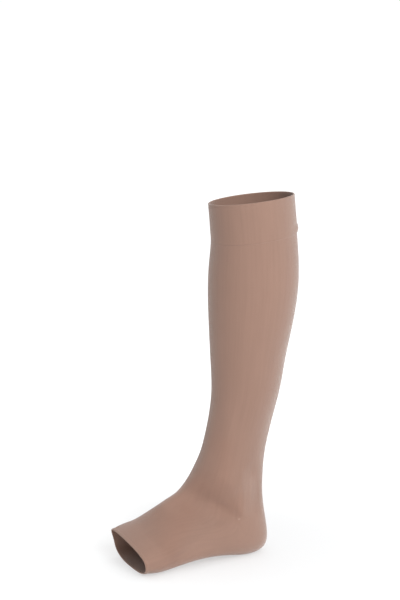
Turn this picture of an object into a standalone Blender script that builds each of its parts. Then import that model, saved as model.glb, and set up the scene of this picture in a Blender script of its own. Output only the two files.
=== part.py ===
"""Open-toe, knee-high compression stocking for a left leg, in the hollow form that it has when it is worn.

Units are metres and +Z is up. The toes point to -Y and the outer side of the leg faces +X. The origin is
the centre of the top opening, where the band grips the leg.

A stocking of this kind is knitted round as one tube: a doubled band at the top, the leg and the foot with
a turned heel, and a firmer band at the open toe. Here each of the three is a wall of its own, swept
round the same form.
"""

import math
from collections import namedtuple

import bmesh
import bpy
import numpy as np

# ---- driving sizes, in millimetres ------------------------------------------------------------------

MM = 0.001
LEG_WALL = 1.1  # one layer of firm knit
BAND_WALL = 2.0  # the top band is folded double
BAND_BEAD = 0.7  # how far the band's closing seam stands out past the band
BAND_BEAD_HEIGHT = 9.0
BAND_BEAD_RINGS = (6.5, 4.0, 2.0, 0)  # the heights of the bead's rings above the band's lower edge
BEAD_LEAN = 0.85  # 1 puts the bead's crest half way up it, and less puts it lower
TOE_WALL = 1.3
TOE_BEAD = 0.4  # the turned edge at the open toe
TOE_BEAD_LENGTH = 4.0
TOE_ROUNDING = 0.6
SEAM_GAP = 0.3
AROUND = 44  # points round a ring, half of them on each side of the leg
FOLD_POINTS = 5  # points round the rim's fold
RING_STEP = 13.0  # most between two rings, on their longer side
HEEL_STEP = 7.0  # the same round the heel, where the tube turns
BAND_STEP = 8.0
FINE_STEPS = 240  # points on the finely drawn outline that a ring's own points are spaced along

# ---- the form ---------------------------------------------------------------------------------------

# Each row is one ring round the inside of the cloth, from the rim down to the toe. A ring leans in the
# leg's middle plane from its front point, on the shin or the top of the foot, to its back point, on
# the calf, the heel or the sole.
#   front, back      (forward of the heel's back, up from the floor)
#   outer, inner     half widths to the little-toe side and to the other leg's side
#   widest           how far from front to back the ring is widest, as a share
#   front_x, back_x  how far those two points lie to the outer side
#   front_n, back_n  2 is an ellipse, more is squarer, less is more pointed
#   skew             how far the ring's inner side runs ahead of its outer side, for each unit of width
#   lift             how far its outer side stands above its inner side, for each unit of width
Section = namedtuple(
    "Section",
    "name front back outer inner widest front_x back_x front_n back_n skew lift",
    defaults=[0],
)
SECTIONS = [
    Section("rim", (68.5, 420.8), (-27.8, 431.2), 46.5, 47.5, 0.50, 0, 0, 2.0, 2.0, 0, 0.045),
    Section("band edge", (65.5, 375.5), (-32, 388), 48.3, 49.3, 0.50, 0, 0, 2.0, 2.0, 0),
    Section("upper calf", (68, 346), (-33.7, 356), 50.0, 52.0, 0.52, 0, 0, 2.0, 2.1, 0),
    Section("calf", (69, 319), (-33.5, 326), 50.5, 53.0, 0.53, 0, 0, 2.0, 2.1, 0),
    Section("lower calf", (68, 273), (-27, 277), 45.5, 48.0, 0.52, 0, 0, 2.0, 2.1, 0),
    Section("under calf", (66.5, 234), (-19.8, 237), 40.0, 42.0, 0.51, 0, 0, 2.0, 2.0, 0),
    Section("shin", (66, 199), (-14, 202), 35.5, 36.5, 0.50, 0, 0, 2.0, 2.0, 0),
    Section("above ankle", (69.5, 171), (-7.5, 173), 32.0, 32.5, 0.48, 0, 0, 2.0, 1.9, 0),
    Section("ankle", (75.2, 146), (-0.5, 145), 29.5, 30.0, 0.46, 0, 0, 2.0, 1.9, 0),
    Section("below ankle", (81.2, 125.5), (4.4, 120), 30.0, 31.0, 0.46, 0, 0, 2.0, 1.9, 0),
    Section("top of heel", (89.6, 107), (7, 93), 32.5, 33.5, 0.47, -1, 0, 2.0, 2.0, 0),
    Section("upper heel", (99.2, 93), (6.5, 64), 32.5, 33.0, 0.50, -3, 0, 2.0, 2.1, 0),
    Section("heel", (106.8, 84.1), (2.3, 34), 31.5, 32.0, 0.54, -5, 0, 2.0, 2.3, 0),
    Section("heel corner", (113.9, 78.5), (4.6, 8), 30.5, 31.5, 0.57, -6, 0, 2.0, 2.4, 0),
    Section("heel sole", (121, 73.8), (24, 0.9), 30.5, 31.0, 0.60, -8, 2, 2.0, 2.2, 0),
    Section("back of arch", (129, 69), (50, 4.2), 31.0, 30.0, 0.62, -9, 5, 2.0, 2.4, 0),
    Section("arch", (137.5, 62.7), (78, 8), 33.0, 30.0, 0.62, -12, 8, 2.0, 2.7, 0),
    Section("front of arch", (147, 55), (109, 6.8), 38.0, 33.5, 0.62, -16, 7, 2.0, 2.8, 0),
    Section("toe band edge", (157.5, 46.6), (138.5, 2.5), 42.0, 38.0, 0.59, -21, 4, 2.0, 2.85, 0.05),
    Section("ball", (167.5, 41), (156.5, 1.1), 44.0, 41.0, 0.55, -25, 1.5, 2.05, 2.8, 0.07),
    Section("toe edge", (177.5, 34.8), (171, 1.3), 44.1, 41.5, 0.48, -29, -1, 2.05, 2.6, 0.07),
]
ROW = {section.name: index for index, section in enumerate(SECTIONS)}
RIM_CENTRE = [(a + b) / 2 for a, b in zip(SECTIONS[0].front, SECTIONS[0].back)]  # becomes the origin

# ---- colours and finish -----------------------------------------------------------------------------

LEG_KNIT = ((0.405, 0.262, 0.202), 0.85)
BAND_KNIT = ((0.395, 0.256, 0.198), 0.82)
TOE_KNIT = ((0.398, 0.257, 0.198), 0.85)


# ---- a smooth form through the rows -----------------------------------------------------------------


def curve_through(knots, values):
    """Second derivatives at the knots of a smooth curve through the values, free at both ends."""
    step = np.diff(knots)
    slope = np.diff(values, axis=0) / step[:, None]
    matrix = np.eye(len(knots))
    right = np.zeros_like(values)
    for i in range(1, len(knots) - 1):
        matrix[i, i - 1 : i + 2] = step[i - 1], 2 * (step[i - 1] + step[i]), step[i]
        right[i] = 6 * (slope[i] - slope[i - 1])
    return np.linalg.solve(matrix, right)


def section_numbers(section):
    """A section's columns as one flat list: front, back, then the single numbers."""
    return [*section.front, *section.back, *section[3:]]


VALUES = np.array([section_numbers(section) for section in SECTIONS], float)
FRONT_STEPS = np.hypot(*np.diff(VALUES[:, 0:2], axis=0).T)
BACK_STEPS = np.hypot(*np.diff(VALUES[:, 2:4], axis=0).T)
# How far down the stocking each row lies, half way between its front and its back.
DOWN = np.concatenate([[0], np.cumsum((FRONT_STEPS + BACK_STEPS) / 2)])
# The same along whichever side is longer there, so that rings can be close enough round the heel.
LONGER_SIDE = np.concatenate([[0], np.cumsum(np.maximum(FRONT_STEPS, BACK_STEPS))])
BENDS = curve_through(DOWN, VALUES)


def section_at(down):
    """All the columns at a distance down the stocking. Past an end it runs straight on."""
    i = int(np.clip(np.searchsorted(DOWN, down) - 1, 0, len(DOWN) - 2))
    step = DOWN[i + 1] - DOWN[i]
    t = (down - DOWN[i]) / step
    s = 1 - t
    bend = (s**3 - s) * BENDS[i] + (t**3 - t) * BENDS[i + 1]
    if not 0 <= t <= 1:
        bend = bend * 0
    return s * VALUES[i] + t * VALUES[i + 1] + bend * step**2 / 6


def half_outline(values, side):
    """One side of a ring, from its front point to its back point, finely drawn."""
    front, back = values[0:2], values[2:4]
    outer, inner, widest, front_x, back_x, front_n, back_n, skew, lift = values[4:]
    turn = np.linspace(0, math.pi, FINE_STEPS)
    sine, cosine = np.sin(turn).clip(0), np.cos(turn)
    is_front = cosine > 0
    power = np.where(is_front, 2 / front_n, 2 / back_n)
    reach = np.abs(cosine) ** power
    share = np.where(is_front, widest * (1 - reach), widest + (1 - widest) * reach)
    off_centre = np.where(is_front, front_x, back_x) * cosine**2
    x = side * (outer if side > 0 else inner) * sine**power + off_centre
    forward = front[0] + share * (back[0] - front[0]) - skew * x
    up = front[1] + share * (back[1] - front[1]) + lift * x
    return np.stack([x, -forward, up], axis=1)


def evenly_spaced(line, count):
    """Points an even distance apart along a line, without its last point."""
    run = np.concatenate([[0], np.cumsum(np.linalg.norm(np.diff(line, axis=0), axis=1))])
    places = np.linspace(0, run[-1], count + 1)[:-1]
    return np.stack([np.interp(places, run, line[:, k]) for k in range(3)], axis=1)


def ring(down):
    """The inside of the cloth at a distance down the stocking, front point first, then the outer side."""
    values = section_at(down)
    outer_side = half_outline(values, 1)
    inner_side = half_outline(values, -1)[::-1]
    half = AROUND // 2
    return np.concatenate([evenly_spaced(outer_side, half), evenly_spaced(inner_side, half)])


def ring_and_normals(down, reach=1.0):
    here = ring(down)
    along = ring(down + reach) - ring(down - reach)
    around = np.roll(here, -1, axis=0) - np.roll(here, 1, axis=0)
    normals = np.cross(along, around)
    return here, normals / np.linalg.norm(normals, axis=1, keepdims=True)


# ---- walls ------------------------------------------------------------------------------------------


def steps_between(start, end, step):
    """Places from start to end down the stocking, no further apart than step on the longer side."""
    first, last = np.interp([start, end], DOWN, LONGER_SIDE)
    count = math.ceil((last - first) / step) + 1
    return np.interp(np.linspace(first, last, count), LONGER_SIDE, DOWN)


def rounded_fold(wall):
    """The section of a fold, from the inside round to the outside: (down, out) pairs."""
    radius = wall / 2
    turns = np.linspace(-math.pi / 2, math.pi / 2, FOLD_POINTS)
    return [(radius * (1 - math.cos(t)), radius * (1 + math.sin(t))) for t in turns]


def bead_height(above_edge):
    """How far the band's closing seam stands out at a height above the band's lower edge."""
    share = above_edge / BAND_BEAD_HEIGHT
    return BAND_BEAD * math.sin(math.pi * share**BEAD_LEAN)


def swept_wall(name, profile, material):
    """A closed wall round the form: profile is its section as a closed loop of (down, out) pairs."""
    rings = []
    for down, out in profile:
        inside, normals = ring_and_normals(down)
        points = inside + normals * out
        floor = LEG_WALL - min(out, LEG_WALL)  # the sole lies flat where the floor presses it
        points[:, 2] = np.maximum(points[:, 2], floor)
        rings.append(points)
    mesh = bpy.data.meshes.new(name)
    shape = bmesh.new()
    to_frame = np.array([0, RIM_CENTRE[0], -RIM_CENTRE[1]])
    loops = [[shape.verts.new((p + to_frame) * MM) for p in points] for points in rings]
    for k, first in enumerate(loops):
        second = loops[(k + 1) % len(loops)]
        for i in range(AROUND):
            j = (i + 1) % AROUND
            shape.faces.new((first[i], second[i], second[j], first[j]))
    bmesh.ops.recalc_face_normals(shape, faces=shape.faces)
    shape.to_mesh(mesh)
    shape.free()
    mesh.shade_smooth()
    mesh.materials.append(material)
    piece = bpy.data.objects.new(name, mesh)
    bpy.context.scene.collection.objects.link(piece)
    return piece


def knit_material(name, colour, roughness):
    material = bpy.data.materials.new(name)
    material.use_nodes = True
    shader = material.node_tree.nodes["Principled BSDF"]
    shader.inputs["Base Color"].default_value = (*colour, 1)
    shader.inputs["Roughness"].default_value = roughness
    shader.inputs["Metallic"].default_value = 0
    return material


def top_band():
    """Two layers, folded over at the rim and closed by a seam that stands a little proud."""
    end = DOWN[ROW["band edge"]] - SEAM_GAP / 2
    fold = rounded_fold(BAND_WALL)
    plain = [(d, BAND_WALL) for d in steps_between(BAND_WALL, end - BAND_BEAD_HEIGHT, BAND_STEP)[1:]]
    bead = [(end - height, BAND_WALL + bead_height(height)) for height in BAND_BEAD_RINGS]
    inside = [(d, 0) for d in steps_between(BAND_WALL / 2, end, BAND_STEP)[:0:-1]]
    return swept_wall("top_band", fold + plain + bead + inside, knit_material("band_knit", *BAND_KNIT))


def leg_and_foot():
    """The plain knitted tube, with its turned heel, from the band to the toe band."""
    start = DOWN[ROW["band edge"]] + SEAM_GAP / 2
    heel_start, heel_end = DOWN[ROW["upper heel"]], DOWN[ROW["back of arch"]]
    end = DOWN[ROW["toe band edge"]] - SEAM_GAP / 2
    stations = [
        *steps_between(start, heel_start, RING_STEP)[:-1],
        *steps_between(heel_start, heel_end, HEEL_STEP)[:-1],
        *steps_between(heel_end, end, RING_STEP),
    ]
    profile = [(d, LEG_WALL) for d in stations] + [(d, 0) for d in stations[::-1]]
    return swept_wall("leg_and_foot", profile, knit_material("leg_knit", *LEG_KNIT))


def toe_band():
    """A firmer band round the ball of the foot, turned at the open toe."""
    start = DOWN[ROW["toe band edge"]] + SEAM_GAP / 2
    end = DOWN[ROW["toe edge"]]
    stations = steps_between(start, end - TOE_BEAD_LENGTH, BAND_STEP)
    outside = [(d, TOE_WALL) for d in stations]
    rounding = end - TOE_ROUNDING
    edge = [
        (end - TOE_BEAD_LENGTH / 2, TOE_WALL + TOE_BEAD),
        (rounding, TOE_WALL),
        (end, TOE_WALL / 2),
        (rounding, 0),
    ]
    inside = [(d, 0) for d in stations[::-1]]
    return swept_wall("toe_band", outside + edge + inside, knit_material("toe_knit", *TOE_KNIT))


def build_stocking():
    for old in list(bpy.data.objects):
        bpy.data.objects.remove(old, do_unlink=True)
    stocking = bpy.data.objects.new("stocking", None)
    bpy.context.scene.collection.objects.link(stocking)
    for piece in (top_band(), leg_and_foot(), toe_band()):
        piece.parent = stocking


build_stocking()
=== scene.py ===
# %% [markdown]
# # A knee-high compression stocking with an open toe
#
# The real stocking is knitted round on a small circular machine, as one tube of fine elastic yarn. It has
# a top band that is folded double, a heel that is turned while it is knitted, and a firmer band round the
# open toe. It is shown in the hollow form that it takes on a leg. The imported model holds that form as
# three plain walls. This script puts finer cloth in their place, with the knit, the seams and the soft
# creases that the real cloth has.

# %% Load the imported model
import math
from collections import namedtuple

import bpy
import numpy as np
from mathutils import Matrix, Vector
from mathutils.bvhtree import BVHTree


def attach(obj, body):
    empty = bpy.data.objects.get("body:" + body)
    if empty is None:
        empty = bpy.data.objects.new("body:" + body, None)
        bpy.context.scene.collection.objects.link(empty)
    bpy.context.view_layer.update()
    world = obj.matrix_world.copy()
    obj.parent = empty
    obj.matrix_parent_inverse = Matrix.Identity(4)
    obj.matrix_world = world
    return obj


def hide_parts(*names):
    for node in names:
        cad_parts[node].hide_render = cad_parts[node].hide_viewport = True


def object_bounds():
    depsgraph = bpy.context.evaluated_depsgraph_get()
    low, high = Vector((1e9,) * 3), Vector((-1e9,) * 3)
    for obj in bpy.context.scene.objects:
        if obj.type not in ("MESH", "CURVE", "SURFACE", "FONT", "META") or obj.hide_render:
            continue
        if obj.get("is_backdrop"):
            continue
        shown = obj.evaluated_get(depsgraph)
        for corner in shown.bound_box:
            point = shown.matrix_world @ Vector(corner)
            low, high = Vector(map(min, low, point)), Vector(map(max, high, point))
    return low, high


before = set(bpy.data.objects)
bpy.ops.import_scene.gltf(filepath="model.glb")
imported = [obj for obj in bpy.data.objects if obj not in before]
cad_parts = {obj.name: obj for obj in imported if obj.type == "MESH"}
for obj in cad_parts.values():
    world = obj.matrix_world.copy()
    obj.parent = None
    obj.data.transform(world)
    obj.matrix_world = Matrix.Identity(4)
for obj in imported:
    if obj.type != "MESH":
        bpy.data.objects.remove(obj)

CAD_BOX = [list(corner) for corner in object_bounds()]
BODY = "root"
print("CAD nodes:", ", ".join(sorted(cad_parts)))

# %% [markdown]
# ## The sizes that drive everything
#
# A stocking is described by a few sizes: how thick its knit is, how deep its bands are, and how many
# columns of stitches it has round. A column of knit stitches is called a wale, and a row of them a course.
# The number of wales stays the same from the top to the toe, so they are wide on the calf and narrow at
# the ankle, as on a real leg. All sizes are in millimetres, and MM turns them into Blender's metres.

# %% Driving sizes
MM = 0.001
LEG_WALL = 1.1  # one layer of firm knit
BAND_WALL = 2.0  # the top band is folded double
TOE_WALL = 1.3
PACKED_GAP = 0.3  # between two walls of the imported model
BUTT_GAP = 0.02  # between two pieces of cloth here, too little to see
WALES = 360
COURSE = 0.62  # the height of one course of stitches
AROUND = 220  # points round a ring of the finer cloth
OUTSIDE_STEP = 2.4  # between two rings on the outside, on their longer side
INSIDE_STEP = 5.0
FINE_STEPS = 900  # points on the finely drawn outline that a ring's own points are spaced along
print("sizes:", WALES, "wales round,", AROUND, "points round a ring")

# %% [markdown]
# ## The form, as a short table of rings
#
# One way to model a stocking is to sculpt it. A clearer way is to describe it as a maker would, by rings
# round the leg and the foot, and to draw a smooth surface through them. Each row below is one ring round
# the inside of the cloth. A ring leans in the leg's middle plane from its front point, on the shin or the
# top of the foot, to its back point, on the calf, the heel or the sole. The rings swing round like the
# spokes of a fan at the ankle, which is what turns the heel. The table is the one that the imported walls
# were made from, so the finer cloth lies exactly where they are.

# %% The rings
# front, back      (forward of the heel's back, up from the floor)
# outer, inner     half widths to the little-toe side and to the other leg's side
# widest           how far from front to back the ring is widest, as a share
# front_x, back_x  how far those two points lie to the outer side
# front_n, back_n  2 is an ellipse, more is squarer, less is more pointed
# skew             how far the ring's inner side runs ahead of its outer side, for each unit of width
# lift             how far its outer side stands above its inner side, for each unit of width
Section = namedtuple(
    "Section",
    "name front back outer inner widest front_x back_x front_n back_n skew lift",
    defaults=[0],
)
SECTIONS = [
    Section("rim", (68.5, 420.8), (-27.8, 431.2), 46.5, 47.5, 0.50, 0, 0, 2.0, 2.0, 0, 0.045),
    Section("band edge", (65.5, 375.5), (-32, 388), 48.3, 49.3, 0.50, 0, 0, 2.0, 2.0, 0),
    Section("upper calf", (68, 346), (-33.7, 356), 50.0, 52.0, 0.52, 0, 0, 2.0, 2.1, 0),
    Section("calf", (69, 319), (-33.5, 326), 50.5, 53.0, 0.53, 0, 0, 2.0, 2.1, 0),
    Section("lower calf", (68, 273), (-27, 277), 45.5, 48.0, 0.52, 0, 0, 2.0, 2.1, 0),
    Section("under calf", (66.5, 234), (-19.8, 237), 40.0, 42.0, 0.51, 0, 0, 2.0, 2.0, 0),
    Section("shin", (66, 199), (-14, 202), 35.5, 36.5, 0.50, 0, 0, 2.0, 2.0, 0),
    Section("above ankle", (69.5, 171), (-7.5, 173), 32.0, 32.5, 0.48, 0, 0, 2.0, 1.9, 0),
    Section("ankle", (75.2, 146), (-0.5, 145), 29.5, 30.0, 0.46, 0, 0, 2.0, 1.9, 0),
    Section("below ankle", (81.2, 125.5), (4.4, 120), 30.0, 31.0, 0.46, 0, 0, 2.0, 1.9, 0),
    Section("top of heel", (89.6, 107), (7, 93), 32.5, 33.5, 0.47, -1, 0, 2.0, 2.0, 0),
    Section("upper heel", (99.2, 93), (6.5, 64), 32.5, 33.0, 0.50, -3, 0, 2.0, 2.1, 0),
    Section("heel", (106.8, 84.1), (2.3, 34), 31.5, 32.0, 0.54, -5, 0, 2.0, 2.3, 0),
    Section("heel corner", (113.9, 78.5), (4.6, 8), 30.5, 31.5, 0.57, -6, 0, 2.0, 2.4, 0),
    Section("heel sole", (121, 73.8), (24, 0.9), 30.5, 31.0, 0.60, -8, 2, 2.0, 2.2, 0),
    Section("back of arch", (129, 69), (50, 4.2), 31.0, 30.0, 0.62, -9, 5, 2.0, 2.4, 0),
    Section("arch", (137.5, 62.7), (78, 8), 33.0, 30.0, 0.62, -12, 8, 2.0, 2.7, 0),
    Section("front of arch", (147, 55), (109, 6.8), 38.0, 33.5, 0.62, -16, 7, 2.0, 2.8, 0),
    Section("toe band edge", (157.5, 46.6), (138.5, 2.5), 42.0, 38.0, 0.59, -21, 4, 2.0, 2.85, 0.05),
    Section("ball", (167.5, 41), (156.5, 1.1), 44.0, 41.0, 0.55, -25, 1.5, 2.05, 2.8, 0.07),
    Section("toe edge", (177.5, 34.8), (171, 1.3), 44.1, 41.5, 0.48, -29, -1, 2.05, 2.6, 0.07),
]
ROW = {section.name: index for index, section in enumerate(SECTIONS)}
RIM_CENTRE = [(a + b) / 2 for a, b in zip(SECTIONS[0].front, SECTIONS[0].back)]  # the origin
print("rings in the table:", len(SECTIONS))

# %% [markdown]
# ## A smooth surface through the rings
#
# Straight stretches between the rings would leave ridges in the cloth. A spline is a curve that bends as
# little as it can on its way through given points, so every column of the table is drawn as a spline down
# the stocking. "down" is the distance from the rim, half way between the front and the back. A ring's own
# outline is a superellipse, which goes from round to squarish with one number, and suits a sole that is
# flatter than the top of a foot.


# %% Splines down the stocking
def curve_through(knots, values):
    """Second derivatives at the knots of a smooth curve through the values, free at both ends."""
    step = np.diff(knots)
    slope = np.diff(values, axis=0) / step[:, None]
    matrix = np.eye(len(knots))
    right = np.zeros_like(values)
    for i in range(1, len(knots) - 1):
        matrix[i, i - 1 : i + 2] = step[i - 1], 2 * (step[i - 1] + step[i]), step[i]
        right[i] = 6 * (slope[i] - slope[i - 1])
    return np.linalg.solve(matrix, right)


VALUES = np.array([[*s.front, *s.back, *s[3:]] for s in SECTIONS], float)
FRONT_STEPS = np.hypot(*np.diff(VALUES[:, 0:2], axis=0).T)
BACK_STEPS = np.hypot(*np.diff(VALUES[:, 2:4], axis=0).T)
DOWN = np.concatenate([[0], np.cumsum((FRONT_STEPS + BACK_STEPS) / 2)])
LONGER_SIDE = np.concatenate([[0], np.cumsum(np.maximum(FRONT_STEPS, BACK_STEPS))])
BENDS = curve_through(DOWN, VALUES)


def down_at(name):
    """How far down the stocking a named ring lies."""
    return DOWN[ROW[name]]


def section_at(down):
    """All the columns at a distance down the stocking. Past an end it runs straight on."""
    i = int(np.clip(np.searchsorted(DOWN, down) - 1, 0, len(DOWN) - 2))
    step = DOWN[i + 1] - DOWN[i]
    t = (down - DOWN[i]) / step
    s = 1 - t
    straight = s * VALUES[i] + t * VALUES[i + 1]
    if not 0 <= t <= 1:
        return straight
    bend = (s**3 - s) * BENDS[i] + (t**3 - t) * BENDS[i + 1]
    return straight + bend * step**2 / 6


def steps_between(start, end, step):
    """Places from start to end down the stocking, no further apart than step on the longer side."""
    first, last = np.interp([start, end], DOWN, LONGER_SIDE)
    count = math.ceil((last - first) / step) + 1
    return np.interp(np.linspace(first, last, count), LONGER_SIDE, DOWN)


print(f"the stocking is {DOWN[-1]:.0f} mm long down its middle")


# %% The outline of a ring
def half_outline(values, side):
    """One side of a ring, from its front point to its back point, finely drawn."""
    front, back = values[0:2], values[2:4]
    outer, inner, widest, front_x, back_x, front_n, back_n, skew, lift = values[4:]
    turn = np.linspace(0, math.pi, FINE_STEPS)
    sine, cosine = np.sin(turn).clip(0), np.cos(turn)
    is_front = cosine > 0
    power = np.where(is_front, 2 / front_n, 2 / back_n)
    reach = np.abs(cosine) ** power
    share = np.where(is_front, widest * (1 - reach), widest + (1 - widest) * reach)
    off_centre = np.where(is_front, front_x, back_x) * cosine**2
    x = side * (outer if side > 0 else inner) * sine**power + off_centre
    forward = front[0] + share * (back[0] - front[0]) - skew * x
    up = front[1] + share * (back[1] - front[1]) + lift * x
    return np.stack([x, RIM_CENTRE[0] - forward, up - RIM_CENTRE[1]], axis=1)


def run_along(line):
    """How far along a line each of its points lies."""
    return np.concatenate([[0], np.cumsum(np.linalg.norm(np.diff(line, axis=0), axis=1))])


def points_at(line, places):
    """The points at some distances along a line."""
    run = run_along(line)
    return np.stack([np.interp(places, run, column) for column in line.T], axis=1)


def evenly_spaced(line, count):
    """Points an even distance apart along a line, without its last point."""
    return points_at(line, np.linspace(0, run_along(line)[-1], count + 1)[:-1])


def ring(down):
    """The inside of the cloth at a distance down the stocking, front point first, then the outer side."""
    values = section_at(down)
    outer_side = half_outline(values, 1)
    inner_side = half_outline(values, -1)[::-1]
    return np.concatenate([evenly_spaced(side, AROUND // 2) for side in (outer_side, inner_side)])


print("points round the rim:", len(ring(0)))


# %% Which way is out, and how far it is round
def ring_and_normals(down, reach=1.0):
    """A ring, and which way is out of the cloth at each of its points."""
    here = ring(down)
    along = ring(down + reach) - ring(down - reach)
    around = np.roll(here, -1, axis=0) - np.roll(here, 1, axis=0)
    normals = np.cross(along, around)
    return here, normals / np.linalg.norm(normals, axis=1, keepdims=True)


def girth(down, out):
    """How far it is round the stocking, at a distance down it and out of the form."""
    here, normals = ring_and_normals(down)
    here = here + normals * out
    return np.linalg.norm(np.roll(here, -1, axis=0) - here, axis=1).sum()


print(f"round the calf {girth(down_at('calf'), LEG_WALL):.0f} mm, "
      f"round the ankle {girth(down_at('ankle'), LEG_WALL):.0f} mm")

# %% [markdown]
# ## The heel's gore line and the creases round it
#
# A machine turns a heel by knitting back and forth on fewer and fewer needles, and then on more and more.
# The two halves of that little pocket meet in a slanting line on each side of the foot, which makers call
# the gore line. It shows as a row of slightly drawn stitches in a shallow trough, and it starts with one
# larger stitch, which puckers the cloth. The cloth is pulled towards that stitch from all sides. A broad
# hollow runs to it from the bend of the ankle and narrows on the way, with a swelling above it. A fold of
# tension stands behind the ankle, between the gore line and the hollow beside the heel's tendon. A soft
# ridge runs towards the ball of the foot, and below it the cloth lies slack over the arch. The table gives
# each of these as a path on the side of the foot, so one formula can push the cloth in or out along them
# all. They fade out towards the top and the back of the foot, where the cloth is drawn tight. A sculpting
# brush could make them too, but a table can be read, and changed by a number.

# %% Soft troughs and ridges
# path    (forward of the heel's back, up from the floor), the same on both sides of the foot
# width   how far from the path the amount falls to about a third
# amount  a crease's height outwards, so a trough's is less than 0
SoftPath = namedtuple("SoftPath", "name path width amount")
SIDE_REACH = 1.5  # how far the creases reach round to the top and the back of the foot
GORE_START = (48.7, 52.9)
GORE_ABOVE = [(60, 80), (56, 69), (52.3, 61), GORE_START]
GORE_BELOW = [GORE_START, (47, 43), (43, 34), (36, 28.5), (24, 25), (12, 23)]
CREASES = [
    SoftPath("gore line above its start", GORE_ABOVE, 3.6, -0.30),
    SoftPath("gore line below its start", GORE_BELOW, 1.7, -0.12),
    SoftPath("pucker at the first stitch", [GORE_START, (47.6, 50.5)], 2.1, 0.42),
    SoftPath("hollow from the ankle's bend", [(107, 91), (96, 83), (84, 76), (69, 67)], 12.5, -4.1),
    SoftPath("hollow's narrow end", [(74, 70), (62, 63), (53, 57)], 6.5, -1.7),
    SoftPath("swelling above the hollow", [(84, 112), (68, 104), (56, 96)], 12.0, 2.8),
    SoftPath("fold behind the ankle", [(44.5, 60), (44.3, 74), (45, 90), (47, 106)], 4.5, 0.8),
    SoftPath("hollow beside the heel's tendon", [(28, 60), (25, 76), (26, 92), (31, 108)], 9.0, -1.5),
    SoftPath("ridge towards the ball", [(70, 60), (88, 54), (108, 46), (128, 38)], 12.0, 1.2),
    SoftPath("slack over the arch", [(132, 18), (115, 28.5), (98, 36.5), (79, 44)], 13.0, -1.7),
    SoftPath("edge of the shin", [(62, 178), (63.3, 160), (64.6, 137), (67, 122)], 9.0, 1.2),
]
print("creases:", ", ".join(crease.name for crease in CREASES))


# %% How far the creases push the cloth
def distance_to_path(places, path):
    """How far each place lies from the nearest point of a path of straight stretches."""
    nearest = np.full(len(places), np.inf)
    path = np.array(path, float)
    for start, end in zip(path[:-1], path[1:]):
        line = end - start
        share = np.clip((places - start) @ line / (line @ line), 0, 1)
        gap = np.linalg.norm(places - start - share[:, None] * line, axis=1)
        nearest = np.minimum(nearest, gap)
    return nearest


def side_places(points):
    """Where points lie as seen from the side: forward of the heel's back, and up from the floor."""
    return np.stack([RIM_CENTRE[0] - points[..., 1], points[..., 2] + RIM_CENTRE[1]], axis=-1)


def added_up(soft_paths, points):
    """What some soft paths come to at each point."""
    places = side_places(points)
    total = np.zeros(len(points))
    for soft in soft_paths:
        near = distance_to_path(places, soft.path) / soft.width
        total += soft.amount * np.exp(-(near**2))
    return total


def crease_height(points, normals):
    """How far the creases push the cloth out at each point."""
    return added_up(CREASES, points) * np.clip(SIDE_REACH * normals[:, 0] ** 2, 0, 1) ** 2


ankle_creases = crease_height(*ring_and_normals(down_at("top of heel")))
print(f"beside the heel they go from {ankle_creases.min():.1f} to {ankle_creases.max():.1f} mm")

# %% [markdown]
# ## Where the knit is slack, and where light and shade are painted on it
#
# A leg doesn't stretch an elastic knit the same everywhere. In the heel's pocket the knit is slack, so its
# yarn lies close together and looks paler. Under the arch, at the toes, just below the ankle's bend and
# behind the ankle the colour is painted paler, as painted light. Over the bend of the ankle, beside the
# shin and over the ball of the foot it is painted darker and warmer, as painted shade. The form doesn't hold
# this, so each point of the cloth carries both amounts as attributes, which the materials read: "slack"
# holds the pocket's slack and the painted light, and "tight" holds the painted shade. Small zones are soft
# paths, as the creases are, and the large ones have a soft edge. Both could be painted by hand, but a
# formula still fits when a size is changed.

# %% Zones of painted light and painted shade
# "slack" holds the heel pocket's slack and painted light, and "tight" holds painted shade
SLACK_AND_LIGHT_MAP, PAINTED_SHADE_MAP = "slack", "tight"
# painted light: zones painted paler, as a highlight
PAINTED_LIGHT_ZONES = [
    SoftPath("just below the ankle's bend", [(126, 73), (107, 84)], 7.5, 1.6),
    SoftPath("behind the ankle", [(40, 66), (38, 78), (32, 96)], 8.0, 1.0),
]
# painted shade: zones painted darker and warmer
PAINTED_SHADE_ZONES = [
    SoftPath("over the bend of the ankle", [(97, 104), (90, 92), (74, 82), (58, 68)], 15.0, 0.8),
    SoftPath("over the ball of the foot", [(108, 66), (119, 54), (134, 33), (143, 16)], 15.0, 0.7),
    SoftPath("beside the shin", [(64, 142), (64, 122), (70, 104)], 10.0, 0.5),
]
POCKET_FRONT = GORE_START[0] + 4  # the heel's pocket is slack behind this, and near the gore line
POCKET_HEIGHT = 60.0  # how far above and below the gore line its slack has faded out
POCKET_FADE_FORWARD, POCKET_FADE_UP = 6.0, 40.0
ARCH_LINE = [GORE_START, (79, 44), (98, 36.5), (115, 28.5), (129, 18), (141, -2)]  # painted light below it
ARCH_PAINTED_LIGHT, ARCH_FADE = 0.7, 8.0  # painted light under the arch, as a share of the slack in the heel's pocket
# painted light towards the toes: its amount, where it starts and how far it fades in
TOES_PAINTED_LIGHT, TOES_START, TOES_FADE = 0.6, 136.0, 30.0
GORE_LINE = (GORE_ABOVE + GORE_BELOW)[::-1]  # from the back of the heel forwards
# the zones of painted shade
print("drawn tight:", ", ".join(zone.name for zone in PAINTED_SHADE_ZONES))


# %% How slack the knit is, and how much light and shade are painted on it
def height_of(line, forward):
    """How far up from the floor a line on the side of the foot is."""
    return np.interp(forward, *np.transpose(line))


def eased(share):
    """From 0 to 1, with a soft start and a soft end."""
    share = np.clip(share, 0, 1)
    return share**2 * (3 - 2 * share)


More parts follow.
